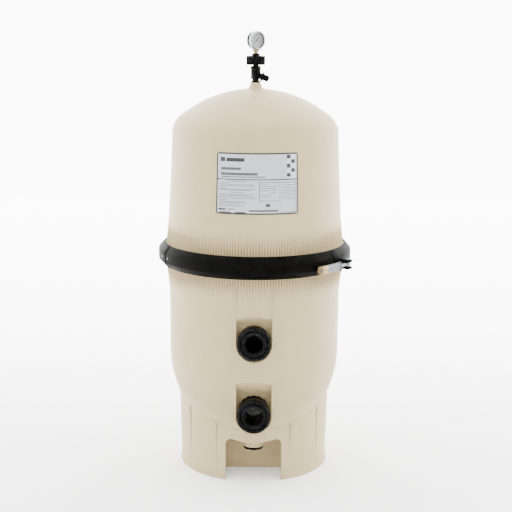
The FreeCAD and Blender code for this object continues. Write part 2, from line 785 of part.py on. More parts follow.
def rating_label():
    low_share = (LABEL_LOW - number_of(rib_top_z)) / number_of(label_mid_z - rib_top_z)
    high_share = (LABEL_HIGH - number_of(label_mid_z)) / number_of(knuckle_z - label_mid_z)
    low_r = rib_top_r - (rib_top_r - label_mid_r) * low_share
    high_r = label_mid_r - (label_mid_r - knuckle_wall_r) * high_share
    sheet_r = 0.8
    outline = [(low_r, LABEL_LOW), (low_r + sheet_r, LABEL_LOW), (label_mid_r + sheet_r, label_mid_z),
               (high_r + sheet_r, LABEL_HIGH), (high_r, LABEL_HIGH), (label_mid_r, label_mid_z)]
    label = turned("label_sheet", outline, angle=LABEL_END - LABEL_START)
    label.Placement.Rotation = turn(LABEL_START - 90)
    return label


node("rating_label", rating_label())


# ---- filter pack: elbow, standpipe, manifold, grids, spacer, rod ----

def outlet_elbow():
    low_y = outlet_seat - wall - 16
    run = low_y - standpipe_y

    def bend(name, radius):
        level = cylinder(name + "_level", radius, run, 0, -standpipe_y, outlet_z, FORWARD)
        upright = cylinder(name + "_up", radius, 56, 0, -standpipe_y, outlet_z)
        ball = doc.addObject("Part::Sphere", name + "_ball")
        ball.Radius = radius
        place(ball, 0, -standpipe_y, outlet_z)
        return fuse(name, level, upright, ball)

    return cut("elbow_cut", bend("elbow_outside", 30), bend("elbow_inside", 26))


def manifold():
    body = cylinder("manifold_body", manifold_r, 40, 0, 0, manifold_z)
    room = cylinder("manifold_room", manifold_r - 5, 30, 0, 0, manifold_z + 5)
    core = cylinder("manifold_core", 14, 40, 0, 0, manifold_z)
    shell = fuse("manifold_shell", cut("manifold_hollow", body, room), core)
    holes = [cylinder("core_hole", rod_r + 0.3, 60, 0, 0, manifold_z - 10),
             cylinder("standpipe_socket", 29, 8, 0, -standpipe_y, manifold_z - 1),
             cylinder("bleed_socket", 4, 12, 0, 60, manifold_z + 32)]
    for step in range(GRIDS):
        x, y = polar(number_of(grid_mid), 22.5 + 45 * step)
        holes.append(cylinder("grid_socket", 14, 8, x, y, manifold_z - 1))
    return cut("manifold_cut", shell, *holes)


def grid(number):
    """A curved panel on edge, with its nozzle on top."""
    azimuth = 22.5 + 45 * number
    x, y = polar(1.0, azimuth)
    outer = cylinder("grid_outer", grid_arc + grid_thick / 2, grid_top - grid_foot)
    outer.Angle = 45
    inner = cylinder("grid_inner", grid_arc - grid_thick / 2, grid_top - grid_foot)
    panel = cut("grid_panel", outer, inner)
    # The arc's centre lies square to the panel's middle, so the chord is radial.
    middle = number_of(grid_mid)
    arc = number_of(grid_arc)
    side_x, side_y = y, -x
    place(panel, x * middle - side_x * arc, y * middle - side_y * arc, grid_foot,
          turn(azimuth - 90 - 90 - 22.5))
    nozzle = cylinder("grid_nozzle", 13.8, manifold_z - grid_top + 5, x * middle, y * middle, grid_top)
    return fuse("grid_body", panel, nozzle)


def grid_spacer():
    disc = cylinder("spacer_disc", manifold_r - 4, 8, 0, 0, grid_foot - 8)
    posts = []
    for step in range(GRIDS):
        x, y = polar(75.0, 45 * step)
        posts.append(cylinder("spacer_post", 4, 20, x, y, grid_foot - 1))
    window = [cylinder("spacer_window", 13, 20, *polar(125.0, 45 * step), grid_foot - 12)
              for step in range(1, GRIDS)]
    return cut("spacer_cut", fuse("spacer_solid", disc, *posts),
               cylinder("spacer_core", rod_r + 0.3, 30, 0, 0, grid_foot - 15),
               cylinder("spacer_pipe", 30.5, 30, 0, -standpipe_y, grid_foot - 15), *window)


def wing_nut():
    z = manifold_z + 42
    hub = cylinder("wing_hub", 9, 14, 0, 0, z)
    wings = [box("wing", (18, 4, 16), -26, -2, z + 6), box("wing", (18, 4, 16), 8, -2, z + 6)]
    return cut("wing_cut", fuse("wing_solid", hub, *wings), cylinder("wing_hole", rod_r, 30, 0, 0, z - 5))


def inlet_diffuser():
    start = inlet_seat - wall - 16
    plate_disc = cylinder("deflector", 38, 4, 0, -(start - 24), inlet_z, FORWARD)
    collar = tube("diffuser_collar", 31, port_bore, 6, 0, -(start - 6), inlet_z, FORWARD)
    pillars = []
    for step in range(4):
        angle = math.radians(45 + 90 * step)
        pillars.append(cylinder("pillar", 2, 14.5, 28.9 * math.cos(angle), -(start - 20.25),
                                inlet_z + 28.9 * math.sin(angle), FORWARD))
    return fuse("diffuser", plate_disc, collar, *pillars)


node("inlet_diffuser", inlet_diffuser())
node("outlet_elbow", outlet_elbow())
node("standpipe", tube("riser", 29, 25, manifold_z - outlet_z - 52, 0, -standpipe_y, outlet_z + 56))
node("manifold", manifold())
for number in range(GRIDS):
    node("filter_grid_%d" % (number + 1), grid(number))
node("grid_spacer", grid_spacer())
node("rod_anchor", tube("anchor", 16, rod_r, 24, 0, 0, bowl_z - bowl_drop + wall + 1))
node("retainer_rod", cylinder("rod", rod_r, manifold_z - 24, 0, 0, bowl_z - bowl_drop + wall + 6))
node("retainer_washer", tube("washer", 14, rod_r, 2, 0, 0, manifold_z + 40))
node("retainer_wing_nut", wing_nut())
node("air_bleed_tube", tube("bleed_tube", 4, 2.5, 85, 0, 60, manifold_z + 35))
node("air_bleed_screen", tube("bleed_screen", 9, 4, 26, 0, 60, manifold_z + 100))


# ---- check every object, then write one STEP file for each piece ----

doc.recompute()
faults = [obj.Name for obj in doc.Objects if "Invalid" in obj.State or "Error" in obj.State]
for obj in nodes:
    if obj.Shape.isNull() or not obj.Shape.isValid() or not obj.Shape.Solids:
        faults.append(obj.Label)
if faults:
    raise RuntimeError("these objects failed: " + ", ".join(faults))
os.makedirs("parts", exist_ok=True)
for obj in nodes:
    obj.Shape.exportStep("parts/%s.step" % obj.Label)
    print("%-22s %2d solid(s) %10.1f cm3" % (obj.Label, len(obj.Shape.Solids), obj.Shape.Volume / 1000))
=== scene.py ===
import bpy
import bmesh
import math
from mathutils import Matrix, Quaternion, Vector


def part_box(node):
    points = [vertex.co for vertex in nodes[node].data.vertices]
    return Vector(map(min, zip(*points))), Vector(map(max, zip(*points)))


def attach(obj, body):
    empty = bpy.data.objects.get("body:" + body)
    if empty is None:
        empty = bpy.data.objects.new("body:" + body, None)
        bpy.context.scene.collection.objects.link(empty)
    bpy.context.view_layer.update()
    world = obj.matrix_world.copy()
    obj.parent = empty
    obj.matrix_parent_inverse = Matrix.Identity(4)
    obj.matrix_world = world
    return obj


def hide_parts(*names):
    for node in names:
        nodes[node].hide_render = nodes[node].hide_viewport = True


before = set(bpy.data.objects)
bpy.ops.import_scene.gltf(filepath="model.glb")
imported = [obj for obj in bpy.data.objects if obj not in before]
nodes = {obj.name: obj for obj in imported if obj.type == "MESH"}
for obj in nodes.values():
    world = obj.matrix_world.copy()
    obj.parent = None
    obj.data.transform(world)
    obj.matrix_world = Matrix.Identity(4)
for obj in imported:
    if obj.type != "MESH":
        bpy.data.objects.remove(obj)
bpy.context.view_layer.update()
bpy.ops.object.select_all(action="DESELECT")


# ---- studio: a pale floor, soft lights and the camera ----
# A seamless pale sheet under and behind the tank, with large softboxes
# to the left, right and above, as in a catalogue shot.

def hex_colour(code):
    """An sRGB hex colour as linear RGBA."""
    channels = [int(code[i:i + 2], 16) / 255 for i in (1, 3, 5)]
    return [c / 12.92 if c <= 0.04045 else ((c + 0.055) / 1.055) ** 2.4 for c in channels] + [1.0]


def add_node(tree, kind, links=None, **settings):
    """Add one shader node; settings name properties or sockets, links feed sockets."""
    item = tree.nodes.new(kind)
    for name, value in settings.items():
        if hasattr(item, name):
            setattr(item, name, value)
        else:
            item.inputs[name.replace("_", " ")].default_value = value
    for socket, source in (links or {}).items():
        tree.links.new(source, item.inputs[socket])
    return item


def new_material(name, colour, roughness, **surface):
    """A Principled material with its plain values set on the shader's own sockets."""
    material = bpy.data.materials.new(name)
    material.use_nodes = True
    shader = material.node_tree.nodes["Principled BSDF"]
    shader.inputs["Base Color"].default_value = hex_colour(colour)
    shader.inputs["Roughness"].default_value = roughness
    for socket, value in surface.items():
        shader.inputs[socket.replace("_", " ")].default_value = value
    return material, material.node_tree, shader


def paint(tree, shader, factor, dark, light, low=0.3, high=0.7):
    """Colour the surface between two shades by a pattern."""
    ramp = add_node(tree, "ShaderNodeValToRGB", {"Fac": factor})
    ramp.color_ramp.elements[0].position = low
    ramp.color_ramp.elements[0].color = hex_colour(dark)
    ramp.color_ramp.elements[1].position = high
    ramp.color_ramp.elements[1].color = hex_colour(light)
    tree.links.new(ramp.outputs["Color"], shader.inputs["Base Color"])


def roughen(tree, shader, factor, low, high):
    """Let a pattern move the roughness between two values."""
    spread = add_node(tree, "ShaderNodeMapRange", {"Value": factor})
    spread.inputs["To Min"].default_value = low
    spread.inputs["To Max"].default_value = high
    tree.links.new(spread.outputs["Result"], shader.inputs["Roughness"])


def emboss(tree, shader, height, depth, strength=1.0):
    """Raise the surface by a pattern, depth in metres."""
    bump = add_node(tree, "ShaderNodeBump", {"Height": height}, Distance=depth, Strength=strength)
    tree.links.new(bump.outputs["Normal"], shader.inputs["Normal"])


def grain(tree, size, detail=3.0):
    """Noise with a grain of the given size in metres, in the object's own frame."""
    place = add_node(tree, "ShaderNodeTexCoord").outputs["Object"]
    noise = add_node(tree, "ShaderNodeTexNoise", {"Vector": place}, Scale=1 / size, Detail=detail)
    return noise.outputs["Fac"]


floor_paint, tree, shader = new_material("studio_paper", "#FFFFFF", 0.95)
shader.inputs["Emission Color"].default_value = hex_colour("#FFFFFF")
across = add_node(tree, "ShaderNodeSeparateXYZ",
                  {"Vector": add_node(tree, "ShaderNodeTexCoord").outputs["Object"]})
# The sheet is lit from behind: the glow starts behind the tank and grows away from it.
glow = add_node(tree, "ShaderNodeMapRange", {"Value": across.outputs["Y"]})
glow.inputs["From Min"].default_value = 0.3
glow.inputs["From Max"].default_value = 1.6
glow.inputs["To Min"].default_value = 0.2
glow.inputs["To Max"].default_value = 2.3
tree.links.new(glow.outputs["Result"], shader.inputs["Emission Strength"])
roughen(tree, shader, grain(tree, 0.02), 0.85, 0.95)
bpy.ops.mesh.primitive_plane_add(size=12, location=(0, 0, -0.0005))
floor = bpy.context.object
floor.name = "studio_floor"
bpy.ops.object.mode_set(mode="EDIT")
mesh = bmesh.from_edit_mesh(floor.data)
for edge in mesh.edges:
    edge.select_set(all(vertex.co.y > 5 for vertex in edge.verts))
bmesh.update_edit_mesh(floor.data)
bpy.ops.mesh.extrude_region_move(TRANSFORM_OT_translate={"value": (0, 0, 2.4)})
bpy.ops.object.mode_set(mode="OBJECT")
floor.data.materials.append(floor_paint)

world = bpy.data.worlds.new("studio_air")
bpy.context.scene.world = world
world.use_nodes = True
world.node_tree.nodes["Background"].inputs["Color"].default_value = hex_colour("#FFFFFF")
world.node_tree.nodes["Background"].inputs["Strength"].default_value = 0.16


def softbox(name, place, aim, size, power):
    """A square area light that looks at a point."""
    light = bpy.data.lights.new(name, "AREA")
    light.size = size
    light.energy = power
    item = bpy.data.objects.new(name, light)
    bpy.context.collection.objects.link(item)
    item.location = place
    item.rotation_euler = (Vector(aim) - Vector(place)).to_track_quat("-Z", "Y").to_euler()


softbox("key_left", (-2.6, -2.6, 2.4), (0, 0, 0.9), 1.4, 62)
softbox("fill_right", (3.0, -1.0, 2.0), (0, 0, 0.8), 1.4, 30)
softbox("top", (0, -0.5, 3.2), (0, 0, 1.0), 1.4, 85)

FOCAL = 80.17
DISTANCE = 3.4963
EYE = 1.3291
LOOK_DOWN = 0.1913
ROLL = 0.0063
camera_data = bpy.data.cameras.new("camera")
camera_data.lens = FOCAL
camera_data.sensor_width = 36
camera_data.shift_x = 0.00275
camera = bpy.data.objects.new("camera", camera_data)
bpy.context.collection.objects.link(camera)
camera.location = (0, -DISTANCE, EYE)
tilt = Vector((0, math.cos(LOOK_DOWN), -math.sin(LOOK_DOWN))).to_track_quat("-Z", "Y")
camera.rotation_mode = "QUATERNION"
camera.rotation_quaternion = tilt @ Quaternion((0, 0, 1), ROLL)
bpy.context.scene.camera = camera


# ---- upper shell ----
# The lid half of the tank, injection moulded in glass-filled polypropylene:
# matt, finely grained beige, with a ring of clamping ribs above the flange.

RIBS = 200
RIB_DEPTH = 0.0060


def arithmetic(tree, operation, first, second=None):
    """One arithmetic node; the second value is a socket, a plain number or nothing."""
    item = add_node(tree, "ShaderNodeMath", operation=operation)
    tree.links.new(first, item.inputs[0])
    if isinstance(second, bpy.types.NodeSocket):
        tree.links.new(second, item.inputs[1])
    elif second is not None:
        item.inputs[1].default_value = second
    return item.outputs[0]


def beige_polypropylene():
    """Moulded glass-filled polypropylene: matt, a faint mottle, a fine spark grain and painted shade
    in the rib grooves.
    """
    material, tree, shader = new_material("beige_glass_filled_polypropylene", "#AF9D75", 0.5)
    shader.inputs["Specular IOR Level"].default_value = 0.3
    mottle = grain(tree, 0.05, 4.0)
    paint(tree, shader, mottle, "#AC9A72", "#B19F77")
    roughen(tree, shader, grain(tree, 0.012), 0.46, 0.58)
    # Painted shade darkens the grooves between the clamping ribs, on both sides of the parting, fading
    # away from it.
    place = add_node(tree, "ShaderNodeSeparateXYZ",
                     {"Vector": add_node(tree, "ShaderNodeTexCoord").outputs["Object"]})
    turn = arithmetic(tree, "ARCTAN2", place.outputs["X"], place.outputs["Y"])
    wave = arithmetic(tree, "COSINE", arithmetic(tree, "MULTIPLY", turn, RIBS))
    groove = add_node(tree, "ShaderNodeMapRange", {"Value": wave})
    groove.inputs["From Min"].default_value = 0.6
    groove.inputs["From Max"].default_value = -1.0
    rise = arithmetic(tree, "SUBTRACT", place.outputs["Z"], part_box("upper_shell")[0][2])
    reach = add_node(tree, "ShaderNodeMapRange", {"Value": arithmetic(tree, "ABSOLUTE", rise)})
    reach.inputs["From Min"].default_value = 0.030
    reach.inputs["From Max"].default_value = 0.108
    reach.inputs["To Min"].default_value = 0.75
    reach.inputs["To Max"].default_value = 0.0
    shade = arithmetic(tree, "MULTIPLY", groove.outputs["Result"], reach.outputs["Result"])
    clean = shader.inputs["Base Color"].links[0].from_socket
    blend = add_node(tree, "ShaderNodeMixRGB", {"Fac": shade, "Color1": clean})
    blend.inputs["Color2"].default_value = hex_colour("#6E5D42")
    tree.links.new(blend.outputs["Color"], shader.inputs["Base Color"])
    # Spark grain is about 0.1 mm; it is drawn at 1.5 mm so that it shows.
    emboss(tree, shader, grain(tree, 0.0015, 2.0), 0.00012, 0.5)
    return material


shell_plastic = beige_polypropylene()


def new_piece(name, material, body="tank", stands_for=()):
    """Name the active object, give it its material and tie it to its body."""
    piece = bpy.context.object
    piece.name = name
    piece.data.name = name
    piece.data.materials.clear()
    piece.data.materials.append(material)
    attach(piece, body)
    if stands_for:
        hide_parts(*stands_for)
    return piece


def spun(outline, steps, closed=True, start=0.0, sweep=360.0):
    """Spin an outline of (radius, height) round Z from an azimuth, as the active mesh."""
    bpy.ops.object.select_all(action="DESELECT")
    bpy.ops.mesh.primitive_plane_add(size=0.01)
    bpy.ops.object.mode_set(mode="EDIT")
    bpy.ops.mesh.select_all(action="SELECT")
    bpy.ops.mesh.delete(type="VERT")
    mesh = bmesh.from_edit_mesh(bpy.context.object.data)
    angle = math.radians(start)
    points = [mesh.verts.new((r * math.sin(angle), -r * math.cos(angle), h)) for r, h in outline]
    for low, high in zip(points, points[1:]):
        mesh.edges.new((low, high))
    if closed:
        mesh.edges.new((points[-1], points[0]))
    bmesh.update_edit_mesh(bpy.context.object.data)
    bpy.ops.mesh.select_all(action="SELECT")
    bpy.ops.mesh.spin(steps=steps, angle=-math.radians(sweep), center=(0, 0, 0), axis=(0, 0, 1))
    bpy.ops.mesh.select_all(action="SELECT")
    bpy.ops.mesh.remove_doubles(threshold=0.00005)
    if sweep < 360:
        bpy.ops.mesh.select_all(action="DESELECT")
        bpy.ops.mesh.select_non_manifold()
        bpy.ops.mesh.edge_face_add()
    bpy.ops.mesh.select_all(action="SELECT")
    bpy.ops.mesh.normals_make_consistent(inside=False)
    bpy.ops.object.mode_set(mode="OBJECT")
    return bpy.context.object


def smooth_piece(degrees=32):
    """Smooth shading that keeps edges sharper than an angle."""
    bpy.ops.object.shade_smooth_by_angle(angle=math.radians(degrees))


def along_arc(centre, radius, start, end, count):
    """Points of an arc in (radius, height), angles in degrees from the horizontal."""
    for i in range(count + 1):
        angle = math.radians(start + (end - start) * i / count)
        yield centre[0] + radius * math.cos(angle), centre[1] + radius * math.sin(angle)


def along_line(start, end, count):
    """Evenly spaced points from start up to, but not with, end."""
    for i in range(count):
        share = i / count
        yield start[0] + (end[0] - start[0]) * share, start[1] + (end[1] - start[1]) * share


shell_low, shell_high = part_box("upper_shell")
PARTING = shell_low[2]
BOSS_TOP = shell_high[2]
FLANGE_R = shell_high[0]
FLANGE_THICK = 0.016
NECK_RISE = 0.035
WALL = 0.008
NECK_R = FLANGE_R - 0.0145
RIB_TOP = (NECK_R - 0.007, PARTING + 0.106)
WAIST = (NECK_R - 0.015, PARTING + 0.247)
KNUCKLE_R = 0.062
KNUCKLE = (NECK_R - 0.0198 - KNUCKLE_R, PARTING + 0.3694)
CROWN_R = 0.360
crown_reach = CROWN_R - KNUCKLE_R
CROWN_Z = KNUCKLE[1] - math.sqrt(crown_reach ** 2 - KNUCKLE[0] ** 2)
tangent = math.degrees(math.atan2(KNUCKLE[1] - CROWN_Z, KNUCKLE[0]))
FLARE = 84.2
outer = [(FLANGE_R, PARTING), (FLANGE_R, PARTING + FLANGE_THICK)]
outer += list(along_line((NECK_R, PARTING + NECK_RISE), RIB_TOP, 9))
outer += list(along_line(RIB_TOP, WAIST, 5))
outer += list(along_line(WAIST, (KNUCKLE[0] + KNUCKLE_R, KNUCKLE[1]), 5))
outer += list(along_arc(KNUCKLE, KNUCKLE_R, 0, tangent, 10))
outer += list(along_arc((0, CROWN_Z), CROWN_R, tangent, FLARE, 16))[1:]
flare_foot = outer[-1]
boss_r = 0.0155
flare_x = flare_foot[0] + 0.004
outer += list(along_arc((flare_x, BOSS_TOP + 0.0005), flare_x - boss_r - 0.0005, 262, 184, 7))
outer += [(boss_r - 0.0005, BOSS_TOP - 0.0005), (boss_r - 0.001, BOSS_TOP)]
BORE_R = 0.0095
BORE_DEEP = 0.036
inner = [(BORE_R, BOSS_TOP), (BORE_R, BOSS_TOP - BORE_DEEP), (0.0195, BOSS_TOP - BORE_DEEP)]
inner += list(along_arc((0, CROWN_Z), CROWN_R - WALL, 86.5, tangent, 6))
inner += list(along_arc(KNUCKLE, KNUCKLE_R - WALL, tangent, 0, 4))[1:]
inner += [(WAIST[0] - WALL, WAIST[1]), (RIB_TOP[0] - WALL, RIB_TOP[1]), (NECK_R - WALL, PARTING)]


def rib_groove(height, azimuth, full, faded):
    """How far the wall sinks between clamping ribs; none beyond the faded height."""
    share = (faded - height) / (faded - full)
    strength = max(0.0, min(1.0, share))
    return RIB_DEPTH * strength * 0.5 * (1 - math.cos(RIBS * azimuth))


def press_ribs(mesh, lowest_r, full, faded):
    """Sink the grooves between ribs into the outer wall."""
    low, high = min(full, faded), max(full, faded)
    for vertex in mesh.vertices:
        x, y, z = vertex.co
        radius = math.hypot(x, y)
        if radius < lowest_r or not low - 0.002 <= z <= high:
            continue
        sunk = radius - rib_groove(z, math.atan2(x, -y), full, faded)
        vertex.co.x = x * sunk / radius
        vertex.co.y = y * sunk / radius


spun(outer + inner, RIBS * 4)
upper = new_piece("upper_shell_moulding", shell_plastic, "tank", ["upper_shell"])
press_ribs(upper.data, RIB_TOP[0] - 0.002, PARTING + 0.036, RIB_TOP[1])
smooth_piece(50)


# ---- lower shell ----
# The standing half of the same moulding: wall, bulged bowl and fluted skirt in
# one, with recessed pockets round the ports and a doorway to the drain.

lower_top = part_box("lower_shell")[1][2]
RIB_SEAM = lower_top - 0.139


def copy_node(name):
    """A merged copy of a CAD node's mesh, ready to be reworked, as the active object."""
    bpy.ops.object.select_all(action="DESELECT")
    mesh = nodes[name].data.copy()
    copy = bpy.data.objects.new(name + "_copy", mesh)
    bpy.context.collection.objects.link(copy)
    bpy.context.view_layer.objects.active = copy
    copy.select_set(True)
    bpy.ops.object.mode_set(mode="EDIT")
    bpy.ops.mesh.select_all(action="SELECT")
    bpy.ops.mesh.remove_doubles(threshold=0.00002)
    bpy.ops.object.mode_set(mode="OBJECT")
    return copy


copy_node("lower_shell")
bpy.ops.object.mode_set(mode="EDIT")
bpy.ops.mesh.select_all(action="SELECT")
bpy.ops.mesh.bisect(plane_co=(0, 0, RIB_SEAM), plane_no=(0, 0, 1), clear_outer=True, clear_inner=False)
bpy.ops.object.mode_set(mode="OBJECT")
stand = bpy.context.object
wall_r = 0.2645
ring = [(wall_r, RIB_SEAM + 0.003), (wall_r + 0.0006, RIB_SEAM + 0.03)]
ring += list(along_line((wall_r + 0.002, RIB_SEAM + 0.045), (NECK_R, lower_top - NECK_RISE), 8))
ring += [(NECK_R, lower_top - NECK_RISE), (FLANGE_R, lower_top - FLANGE_THICK), (FLANGE_R, lower_top)]
SEAL_WIDE = 0.008
SEAL_DEEP = 0.006
ring += [(NECK_R + SEAL_WIDE, lower_top), (NECK_R + SEAL_WIDE, lower_top - SEAL_DEEP),
         (NECK_R, lower_top - SEAL_DEEP), (NECK_R, lower_top), (NECK_R - WALL, lower_top),
         (NECK_R - WALL, lower_top - NECK_RISE),
         (wall_r - WALL, RIB_SEAM + 0.003)]
spun(ring, RIBS * 4, closed=False)
rim = bpy.context.object
press_ribs(rim.data, wall_r - 0.003, lower_top - 0.034, RIB_SEAM + 0.04)
stand.select_set(True)
bpy.context.view_layer.objects.active = stand
bpy.ops.object.join()
bpy.ops.object.mode_set(mode="EDIT")
for wanted_inner in (False, True):
    bpy.ops.mesh.select_all(action="DESELECT")
    mesh = bmesh.from_edit_mesh(stand.data)
    for edge in mesh.edges:
        middle = (edge.verts[0].co + edge.verts[1].co) / 2
        is_inner = math.hypot(middle.x, middle.y) < wall_r - WALL / 2
        near_seam = RIB_SEAM - 0.0005 < middle.z < RIB_SEAM + 0.0035
        if edge.is_boundary and near_seam and is_inner == wanted_inner:
            edge.select_set(True)
    bmesh.update_edit_mesh(stand.data)
    bpy.ops.mesh.bridge_edge_loops()
bpy.ops.mesh.select_all(action="SELECT")
bpy.ops.mesh.normals_make_consistent(inside=False)
bpy.ops.object.mode_set(mode="OBJECT")
lower = new_piece("lower_shell_moulding", shell_plastic, "tank", ["lower_shell"])
smooth_piece(28)

TANK_R = 0.264
BOWL_REACH = (TANK_R, 0.318, 0.300)
BOWL_Z = 0.370
POCKET_HALF = 0.054
SKIRT_R = 0.230
SKIRT_SPREAD = 0.005
SKIRT_FOOT, SKIRT_TOP = 0.045, 0.240


def skin_normal(x, y, z):
    """The true outward direction of the moulding's skin, or None off the skin."""
    egg = Vector((x / BOWL_REACH[0] ** 2, y / BOWL_REACH[1] ** 2, (z - BOWL_Z) / BOWL_REACH[2] ** 2))
    if z <= BOWL_Z and abs(x * egg.x + y * egg.y + (z - BOWL_Z) * egg.z - 1) < 0.006:
        return egg.normalized()
    radius = math.hypot(x, y)
    skirt = SKIRT_R + SKIRT_SPREAD * max(0.0, (z - SKIRT_FOOT) / (SKIRT_TOP - SKIRT_FOOT))
    on_skirt = 0.016 < z < SKIRT_TOP and abs(radius - skirt) < 0.0008
    if abs(radius - TANK_R) < 0.0008 or on_skirt:
        return Vector((x, y, 0)).normalized()
    return None


def true_shading(mesh):
    """Give the skin its own smooth normals."""
    normals = [Vector(corner.vector) for corner in mesh.corner_normals]
    for face in mesh.polygons:
        whole = all(skin_normal(*mesh.vertices[i].co) for i in face.vertices) and face.area < 0.0004
        for loop in face.loop_indices:
            place = mesh.vertices[mesh.loops[loop].vertex_index].co
            smooth = skin_normal(*place)
            if smooth is not None and (whole or smooth.dot(face.normal) > 0.8):
                normals[loop] = smooth
    mesh.normals_split_custom_set(normals)


true_shading(lower.data)


# ---- port pocket rims ----
# The moulding's rounded lip round each pocket; above the upper port it runs on
# as two ridges that stop the clamping ribs, up to the flange.

RIM_R = 0.0021


def front_wall(x, z):
    """How far forward the outer wall stands at a place on the front."""
    radius = TANK_R
    if z > RIB_SEAM:
        radius += 0.0095 * min(1.0, (z - RIB_SEAM) / (lower_top - NECK_RISE - RIB_SEAM))
    reach = math.sqrt(radius ** 2 - x ** 2)
    if z < BOWL_Z:
        left = 1 - (x / BOWL_REACH[0]) ** 2 - ((BOWL_Z - z) / BOWL_REACH[2]) ** 2
        reach = min(reach, BOWL_REACH[1] * math.sqrt(max(left, 0)))
    return -reach


def rim_path(top, trough):
    """Down one side of the pocket, round its bottom and up the other side."""
    for i in range(25):
        yield -POCKET_HALF, top + (trough - top) * i / 25
    for i in range(33):
        angle = math.pi * (1 + i / 32)
        yield POCKET_HALF * math.cos(angle), trough + POCKET_HALF * math.sin(angle)
    for i in range(1, 26):
        yield POCKET_HALF, trough + (top - trough) * i / 25


def pocket_rim(name, top, trough):
    """A round bead along the path; the lower one thins out towards its top."""
    curve = bpy.data.curves.new(name, "CURVE")
    curve.dimensions = "3D"
    curve.bevel_depth = RIM_R
    curve.bevel_resolution = 3
    curve.use_fill_caps = True
    points = [(x, front_wall(x, z) + 0.0004, z) for x, z in rim_path(top, trough)]
    line = curve.splines.new("POLY")
    line.points.add(len(points) - 1)
    for point, place in zip(line.points, points):
        point.co = (*place, 1)
        edge = min(1.0, (top - place[2]) / 0.05)
        point.radius = 0.25 + 0.75 * edge if top < 0.5 else 1.0
    item = bpy.data.objects.new(name, curve)
    bpy.context.collection.objects.link(item)
    bpy.ops.object.select_all(action="DESELECT")
    bpy.context.view_layer.objects.active = item
    item.select_set(True)
    bpy.ops.object.convert(target="MESH")
    bpy.ops.object.mode_set(mode="EDIT")
    bpy.ops.mesh.select_all(action="SELECT")
    bpy.ops.mesh.remove_doubles(threshold=0.00002)
    bpy.ops.mesh.normals_make_consistent(inside=False)
    bpy.ops.object.mode_set(mode="OBJECT")
    new_piece(name, shell_plastic, "tank")
    smooth_piece(60)


pocket_rim("inlet_pocket_rim", lower_top - 0.037, 0.436)
pocket_rim("outlet_pocket_rim", 0.325, 0.206)


# ---- clamp band ----
# Three segments of rolled V-section steel, powder coated black in satin, that
# wedge the two flanges together.

def powder_coat():
    """Black polyester powder coat: satin, with a slight orange peel."""
    material, tree, shader = new_material("black_powder_coated_steel", "#030302", 0.55)
    shader.inputs["Specular IOR Level"].default_value = 0.02
    paint(tree, shader, grain(tree, 0.03), "#030302", "#060605")
    roughen(tree, shader, grain(tree, 0.008), 0.44, 0.58)
    # Orange peel waves are about 2 mm apart.
    emboss(tree, shader, grain(tree, 0.002, 2.0), 0.00015, 0.35)
    return material


band_coat = powder_coat()
band_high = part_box("band_front_segment")[1][2]
BAND_HALF = (band_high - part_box("band_front_segment")[0][2]) / 2
BAND_Z = band_high - BAND_HALF
BAND_R = max(abs(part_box("band_front_segment")[0][1]), 0.298)
BAND_FLAT = 0.015
LIP_R = BAND_R - 0.017
SHEET = 0.0029
LIP_SHEET = 0.0052
BEND = 0.0027
LAPS = (-66.0, 56.5, 175.0)
LAP_GAP = 0.35


def soften_edges(width, segments=2, degrees=30):
    """Round the active object's sharp edges and apply it."""
    bpy.ops.object.modifier_add(type="BEVEL")
    bevel = bpy.context.object.modifiers[-1]
    bevel.width = width
    bevel.segments = segments
    bevel.limit_method = "ANGLE"
    bevel.angle_limit = math.radians(degrees)
    bpy.ops.object.modifier_apply(modifier=bevel.name)


def band_segment(name, start, end, node):
    """Spin the V section between two azimuths, cap its ends and round its edges."""
    section = [(LIP_R, -BAND_HALF), (BAND_R, -BAND_FLAT), (BAND_R, BAND_FLAT), (LIP_R, BAND_HALF),
               (LIP_R - LIP_SHEET, BAND_HALF), (BAND_R - SHEET, BAND_FLAT - BEND),
               (BAND_R - SHEET, BEND - BAND_FLAT), (LIP_R - LIP_SHEET, -BAND_HALF)]
    outline = [(r, BAND_Z + h) for r, h in section]
    spun(outline, int((end - start) / 1.2), True, start, end - start)
    soften_edges(0.0022, 3)
    new_piece(name, band_coat, "tank", [node])
    smooth_piece(25)


band_segment("front_band_segment", LAPS[0] + LAP_GAP, LAPS[1] - LAP_GAP, "band_front_segment")
band_segment("right_band_segment", LAPS[1] + LAP_GAP, LAPS[2] - LAP_GAP, "band_right_segment")
band_segment("left_band_segment", LAPS[2] + LAP_GAP, 360 + LAPS[0] - LAP_GAP, "band_left_segment")


def lap_plate(name, azimuth, side):
    """A pressed cover over a band joint, with the S-shaped edge of the outer lap."""
    bpy.ops.object.select_all(action="DESELECT")
    bpy.ops.mesh.primitive_grid_add(x_subdivisions=10, y_subdivisions=24, size=2)
    plate = bpy.context.object
    lift = 0.0009
    for vertex in plate.data.vertices:
        across, up = vertex.co.x, vertex.co.y
        height = up * (BAND_HALF - 0.002)
        over = max(0.0, abs(height) - BAND_FLAT)
        radius = BAND_R + lift - over * (BAND_R - LIP_R) / (BAND_HALF - BAND_FLAT)
        swing = 1.3 * math.tanh(up * 3.5)
        if across > 0:
            turn = across * (2.6 + swing)
        else:
            turn = across * (2.2 - swing * 0.4)
        angle = math.radians(azimuth + side * turn)
        vertex.co = (radius * math.sin(angle), -radius * math.cos(angle), BAND_Z + height)
    bpy.ops.object.mode_set(mode="EDIT")
    bpy.ops.mesh.select_all(action="SELECT")
    bpy.ops.mesh.normals_make_consistent(inside=False)
    bpy.ops.object.mode_set(mode="OBJECT")
    bpy.ops.object.modifier_add(type="SOLIDIFY")
    plate.modifiers[-1].thickness = 0.0022
    plate.modifiers[-1].offset = 0
    bpy.ops.object.modifier_apply(modifier=plate.modifiers[-1].name)
    soften_edges(0.0006, 2, 50)
    new_piece(name, band_coat, "tank")
    smooth_piece(40)


